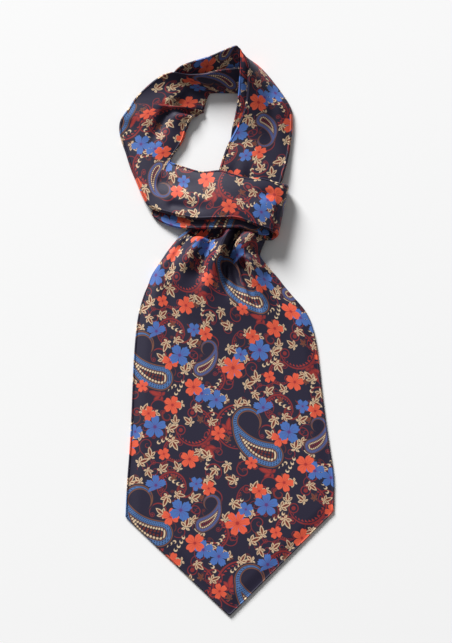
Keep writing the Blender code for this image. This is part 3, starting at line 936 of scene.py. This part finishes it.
# Pairs of inks: ink, deep ink
VINE_INKS = (BRICK, RUST)
ARCH_INKS = (BRICK, DEEP_RED)
CURL_INKS = (CREAM, CREAM)
LEAF_INKS = (CREAM, RUST)
ORANGE_INKS = (ORANGE, DEEP_ORANGE)
BLUE_INKS = (BLUE, MAUVE)

# What a motif takes besides its place and its inks
VINE = {"Tightness": 0.22, "Turns": 1.6, "Weight": 0.058, "Leafy": 0.0}
LEAFY_VINE = {"Tightness": 0.20, "Turns": 1.3, "Weight": 0.078, "Leafy": 1.2}
BIG_ARCH = {"Leafy": 0.22, "Weight": 0.042}
ROUND_PETALS = {"Petals": 5.0, "Notch": 0.12, "Fringe": 0.0, "Half": 0.0}
FOUR_PETALS = {"Petals": 4.0, "Notch": 0.16, "Fringe": 0.0, "Half": 0.0}
SIX_PETALS = {"Petals": 6.0, "Notch": 0.10, "Fringe": 0.0, "Half": 0.0}
FRINGED = {"Petals": 5.0, "Notch": 0.06, "Fringe": 0.045, "Half": 0.0}
FOUR_FRINGED = {"Petals": 4.0, "Notch": 0.08, "Fringe": 0.05, "Half": 0.0}
SIDE_VIEW = {"Petals": 5.0, "Notch": 0.05, "Fringe": 0.05, "Half": 0.95}
THREE = {"Count": 3.0}
FOUR = {"Count": 4.0}
THIN_ARCH = {"Leafy": 0.0, "Weight": 0.055}

# Both charts are painted from the first line to the last. A line has the motif, its inks, what else it
# takes, and a row for each place: x, y, turn in degrees, size, and -1 where it is flipped.

# Fine vines and leaves all over the ground. Each line starts with how often it fits in the repeat, across
# and along.
GROUND_CHART = (
    ((3, 3), "scroll", VINE_INKS, VINE, ((6, 12, 40, 7, 1),)),
    ((2, 4), "scroll", VINE_INKS, VINE, ((22, 5, 200, 5.6, -1),)),
    ((3, 5), "arch", (RUST, RUST), THIN_ARCH, ((14, 19, 300, 4.4, 1),)),
    ((2, 6), "arch", VINE_INKS, THIN_ARCH, ((33, 11, 80, 6.2, 1),)),
    ((4, 4), "leaf", (TAN, RUST), {}, ((3, 25, 120, 6, 1),)),
)

# The motifs of the repeat itself
PRINT_CHART = (
    ("arch", ARCH_INKS, {"Leafy": 0.16, "Weight": 0.032}, ((10, 96, 160, 17, 1),)),
    ("arch", ARCH_INKS, {"Leafy": 0.22, "Weight": 0.05}, ((43, 110, 100, 11, 1),)),
    ("arch", ARCH_INKS, {"Leafy": 0.20, "Weight": 0.042}, (
        (20, 40, 250, 12, 1), (74, 74, 20, 12, 1),
    )),
    ("arch", ARCH_INKS, {"Leafy": 0.22, "Weight": 0.05}, ((46, 18, 190, 9, 1),)),
    ("scroll", VINE_INKS, VINE, (
        (32, 64, 100, 7, -1), (4, 10, 160, 7.5, 1), (60, 92, 250, 7, 1),
        (72, 30, 20, 6.5, -1), (14, 62, 40, 9, 1), (42, 4, 200, 9, -1),
        (78, 98, 120, 8, 1), (30, 122, 10, 8.5, 1), (80, 16, 300, 8, -1),
        (50, 76, 150, 7.5, 1), (24, 22, 260, 8, -1), (66, 58, 90, 7, 1),
    )),
    ("scroll", VINE_INKS, LEAFY_VINE, (
        (40, 44, 330, 8, 1), (52, 108, 60, 9.5, -1),
    )),
    ("arch", ARCH_INKS, BIG_ARCH, ((61, 36, -35, 14.5, 1),)),
    ("leaf", LEAF_INKS, {}, ((59, 38.5, 140, 8.5, 1),)),
    ("leaf", ARCH_INKS, {}, (
        (70, 22, -60, 13, 1), (36, 60, 160, 12, 1), (2, 92, 80, 12, 1),
    )),
    ("curls", CURL_INKS, FOUR, ((33, 24, 20, 3.6, 1),)),
    ("curls", CURL_INKS, THREE, ((12, 33, 100, 3.4, -1),)),
    ("curls", CURL_INKS, FOUR, ((47, 62, 50, 3.6, 1),)),
    ("curls", CURL_INKS, THREE, ((82, 72, 240, 3.4, -1),)),
    ("curls", CURL_INKS, FOUR, ((42, 116, 320, 3.6, 1),)),
    ("curls", CURL_INKS, THREE, ((4, 106, 30, 3.4, 1),)),
    ("curls", CURL_INKS, FOUR, ((70, 4, 80, 3.6, -1),)),
    ("curls", CURL_INKS, THREE, (
        (76, 46, 110, 3.4, 1), (46, 68, 200, 3.2, 1),
    )),
    ("leaf", LEAF_INKS, {}, (
        (17, 8, 20, 9.5, 1), (27, 12, 100, 9, 1), (20, 30, 200, 8.5, 1),
        (43, 26, 300, 10, 1), (40, 34, 20, 9, 1), (72, 12, 130, 9.5, 1),
        (78, 4, 230, 9, 1), (4, 38, 330, 9.5, 1), (20, 47, 60, 9, 1),
        (8, 54, 160, 9.5, 1), (2, 68, 250, 9, 1), (12, 74, 350, 8.5, 1),
        (54, 78, 80, 10, 1), (58, 84, 10, 8.5, 1), (72, 66, 290, 9.5, 1),
        (52, 54, 200, 8.5, 1), (38, 88, 140, 9, 1), (40, 103, 250, 9.5, 1),
        (58, 100, 30, 9, 1), (70, 107, 100, 9.5, 1), (70, 116, 330, 9, 1),
        (20, 114, 190, 9.5, 1), (10, 112, 60, 8.5, 1), (30, 48, 280, 8.5, 1),
        (66, 17, 200, 8, 1), (34, 2, 40, 8.5, 1), (49, 3, 120, 8, 1),
        (24, 3, 300, 8, 1), (46, 38, 90, 8, 1), (73, 39, 20, 8, 1),
        (68, 75, 160, 8.5, 1), (12, 83, 30, 8, 1), (46, 104, 350, 8, 1),
        (2, 116, 130, 8.5, 1), (83, 84, 60, 8.5, 1), (62, 52, 320, 8, 1),
    )),
    ("paisley", (PALE_BLUE, RUST), {}, ((39.4, 105.8, -98, 1, -1),)),
    ("paisley", (LILAC_BLUE, BRICK), {}, ((60.9, 98.5, -72, 0.58, 1),)),
    ("flower", BLUE_INKS, SIX_PETALS, ((8, 22, 40, 7.5, 1),)),
    ("flower", ORANGE_INKS, SIX_PETALS, ((8, 22, 10, 10.5, 1),)),
    ("flower", BLUE_INKS, ROUND_PETALS, ((30, 36, 15, 10, 1),)),
    ("flower", ORANGE_INKS, ROUND_PETALS, ((44, 53, 70, 8, 1),)),
    ("flower", ORANGE_INKS, FOUR_PETALS, ((42.5, 87, 70, 7.5, 1),)),
    ("flower", BLUE_INKS, FOUR_FRINGED, ((50, 92, 30, 9.5, 1),)),
    ("flower", BLUE_INKS, FRINGED, ((67.5, 62, 20, 8, 1),)),
    ("flower", ORANGE_INKS, FOUR_PETALS, ((61, 67, 50, 8.5, 1),)),
    ("flower", BLUE_INKS, SIDE_VIEW, ((31, 111, 20, 8.5, 1),)),
    ("flower", ORANGE_INKS, FOUR_PETALS, ((25, 46.5, 80, 6.5, 1),)),
    ("flower", ORANGE_INKS, ROUND_PETALS, ((80, 31, 35, 6.5, 1),)),
    ("flower", BLUE_INKS, FRINGED, ((79, 57, 10, 8.5, 1),)),
    ("flower", ORANGE_INKS, FOUR_PETALS, ((37, 15, 60, 5.5, 1),)),
    ("flower", BLUE_INKS, FOUR_PETALS, ((14.5, 32.5, 25, 6.5, 1),)),
    ("flower", ORANGE_INKS, ROUND_PETALS, ((57, 11, 5, 8, 1),)),
    ("flower", BLUE_INKS, FRINGED, ((62, 112, 45, 6, 1),)),
    ("flower", ORANGE_INKS, FOUR_PETALS, ((71.5, 108.5, 65, 6.5, 1),)),
    ("flower", ORANGE_INKS, ROUND_PETALS, ((20, 68, 100, 5.5, 1),)),
)


# The silk's shader and its weave, in millimetres
SILK_SETTINGS = {
    "Roughness": 0.6,
    "Specular IOR Level": 0.25,
    "Sheen Weight": 0.06,
    "Sheen Roughness": 0.4,
    "Sheen Tint": linear(200, 200, 225),
}
TWILL_SPACING = 0.7
TWILL_SHARE = 0.3
SLUB_SCALE = 0.9
SLUB_DETAIL = 3.0
WEAVE_STRENGTH = 0.25
WEAVE_HEIGHT = 0.15


def set_shader(material, settings):
    """The material's shader, with these inputs set."""
    material.use_nodes = True
    shader = material.node_tree.nodes["Principled BSDF"]
    for label, value in settings.items():
        shader.inputs[label].default_value = value
    return shader


def twill_and_slub(tree, cloth_place, x, y):
    """The height of the weave: fine diagonal ribs, and threads a little thicker here and there."""
    ribs = ((x + y) * (math.tau / TWILL_SPACING)).math("SINE")
    noise = tree.nodes.new("ShaderNodeTexNoise")
    noise.inputs["Scale"].default_value = SLUB_SCALE
    noise.inputs["Detail"].default_value = SLUB_DETAIL
    tree.links.new(cloth_place, noise.inputs["Vector"])
    return ribs * TWILL_SHARE + Field(tree, noise.outputs["Fac"])


def silk():
    """Printed silk twill."""
    material = bpy.data.materials.new("printed_silk")
    shader = set_shader(material, SILK_SETTINGS)
    tree = material.node_tree

    place = tree.nodes.new("ShaderNodeAttribute")
    place.attribute_name = "cloth_mm"
    cloth_place = place.outputs["Vector"]
    parts = tree.nodes.new("ShaderNodeSeparateXYZ")
    tree.links.new(cloth_place, parts.inputs[0])

    groups = print_groups()
    ground = tree.nodes.new("ShaderNodeRGB")
    ground.outputs[0].default_value = NAVY
    colour = ground.outputs[0]
    chart = [*GROUND_CHART, *(((1, 1), *line) for line in PRINT_CHART)]
    for (across, along), motif, (ink, deep_ink), more, places in chart:
        for x, y, turn, size, flip in places:
            node = tree.nodes.new("ShaderNodeGroup")
            node.node_tree = groups[motif]
            tree.links.new(colour, node.inputs["Below"])
            tree.links.new(parts.outputs["X"], node.inputs["Cloth x"])
            tree.links.new(parts.outputs["Y"], node.inputs["Cloth y"])
            settings = {
                "Centre x": x, "Centre y": y,
                "Step x": REPEAT_WIDTH / across, "Step y": REPEAT_HEIGHT / along,
                "Turn": math.radians(turn), "Size": size, "Flip": flip,
                "Ink": ink, "Deep ink": deep_ink,
            }
            for label, value in (settings | more).items():
                node.inputs[label].default_value = value
            colour = node.outputs["Colour"]
    tree.links.new(colour, shader.inputs["Base Color"])

    bump = tree.nodes.new("ShaderNodeBump")
    bump.inputs["Strength"].default_value = WEAVE_STRENGTH
    bump.inputs["Distance"].default_value = WEAVE_HEIGHT * MM
    height = twill_and_slub(
        tree, cloth_place, Field(tree, parts.outputs["X"]), Field(tree, parts.outputs["Y"])
    )
    tree.links.new(height.socket, bump.inputs["Height"])
    tree.links.new(bump.outputs["Normal"], shader.inputs["Normal"])
    return material


# The pieces

printed_silk = silk()

# Name, sides, replaced nodes, flat width and length, area, how held, what it rests on, and where its flat
# cloth starts in the print
PIECES = (
    (
        "silk_rear_blade", rear_blade_sides(), ("rear_blade",),
        (0.136, 0.215), 0.0260, "laid", ["floor"], (40.0, 60.0),
    ),
    (
        "silk_front_blade", front_blade_sides(), ("front_blade",),
        (0.158, 0.320), 0.0390, "laid", ["silk_rear_blade"], (0.0, 60.0),
    ),
    (
        "silk_neck_band_right", band_sides(RIGHT_BAND, BAND_WALL, RIGHT_BAND_FOLDS), ("neck_band_right",),
        (0.048, 0.138), None, "folded", ["floor"], (70.0, 20.0),
    ),
    (
        "silk_neck_band_right_rim", band_sides(RIGHT_RIM, RIM_WALL), ("neck_band_right_rim",),
        (0.010, 0.072), None, "folded", ["silk_neck_band_right"], (0.0, 90.0),
    ),
    (
        "silk_neck_band_back_rim", band_sides(BACK_RIM, RIM_WALL), ("neck_band_back_rim",),
        (0.018, 0.064), None, "folded", ["silk_neck_band_and_wrap"], (60.0, 30.0),
    ),
    (
        "silk_knot_wrap_rim", band_sides(WRAP_RIM, RIM_WALL), ("knot_wrap_rim",),
        (0.013, 0.102), None, "folded", ["silk_neck_band_and_wrap"], (23.0, 20.0),
    ),
    (
        "silk_neck_band_and_wrap", loop_and_wrap_sides(), ("neck_band_back", "neck_band_left", "knot_wrap"),
        (0.050, 0.265), None, "folded", ["floor", "silk_front_blade"], (70.0, 70.0),
    ),
)


# The floor and the light, in metres. The light faces the middle of the frame.
FLOOR_HALF = 3.0
FLOOR_SETTINGS = {"Base Color": linear(244, 244, 244), "Roughness": 0.9, "Specular IOR Level": 0.1}
KEY_PLACE = (-6.6, 12.4, 6.9)
KEY_SIZE = 5.4
KEY_POWER = 4650.0
WORLD_STRENGTH = 0.20


def add_floor():
    """A plain pale surface under the cravat."""
    mesh = bpy.data.meshes.new("floor")
    corners = [(x * FLOOR_HALF, y * FLOOR_HALF, 0) for x, y in ((-1, -1), (1, -1), (1, 1), (-1, 1))]
    mesh.from_pydata(corners, [], [(0, 1, 2, 3)])
    material = bpy.data.materials.new("pale_paper")
    set_shader(material, FLOOR_SETTINGS)
    mesh.materials.append(material)
    floor = bpy.data.objects.new("floor", mesh)
    bpy.context.scene.collection.objects.link(floor)


def add_light():
    """One large soft light, low at the upper left of the picture, and an even white world."""
    light = bpy.data.lights.new("key", "AREA")
    light.shape = "SQUARE"
    light.size = KEY_SIZE
    light.energy = KEY_POWER
    lamp = bpy.data.objects.new("key", light)
    lamp.location = KEY_PLACE
    lamp.rotation_euler = (-Vector(KEY_PLACE)).to_track_quat("-Z", "Y").to_euler()
    bpy.context.scene.collection.objects.link(lamp)
    world = bpy.data.worlds.new("studio")
    world.use_nodes = True
    background = world.node_tree.nodes["Background"]
    background.inputs["Color"].default_value = (1.0, 1.0, 1.0, 1.0)
    background.inputs["Strength"].default_value = WORLD_STRENGTH
    bpy.context.scene.world = world


# The camera stands this far from the middle of the picture, this many degrees above the surface
CAMERA_DISTANCE = 1.5
CAMERA_ELEVATION = 75.0
CAMERA_FOCAL_PIXELS = 1935.48
IMAGE_WIDTH = 452
SENSOR_WIDTH = 36.0


def add_camera():
    data = bpy.data.cameras.new("camera")
    data.sensor_fit = "HORIZONTAL"
    data.sensor_width = SENSOR_WIDTH
    data.lens = CAMERA_FOCAL_PIXELS * SENSOR_WIDTH / IMAGE_WIDTH
    data.clip_start = 0.1
    data.clip_end = 20.0
    camera = bpy.data.objects.new("camera", data)
    elevation = math.radians(CAMERA_ELEVATION)
    back = Vector((0.0, -math.cos(elevation), math.sin(elevation)))
    camera.location = Vector(PLACE) * MM + back * CAMERA_DISTANCE
    camera.rotation_euler = (-back).to_track_quat("-Z", "Y").to_euler()
    bpy.context.scene.collection.objects.link(camera)
    bpy.context.scene.camera = camera


add_camera()
add_floor()
for name, sides, nodes, flat_size, area, held, rests_on, flat_origin in PIECES:
    piece = cloth(name, sides, printed_silk, flat_origin)
    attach(piece, BODY)
    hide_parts(*nodes)

add_light()
bpy.context.scene.view_settings.view_transform = "Standard"
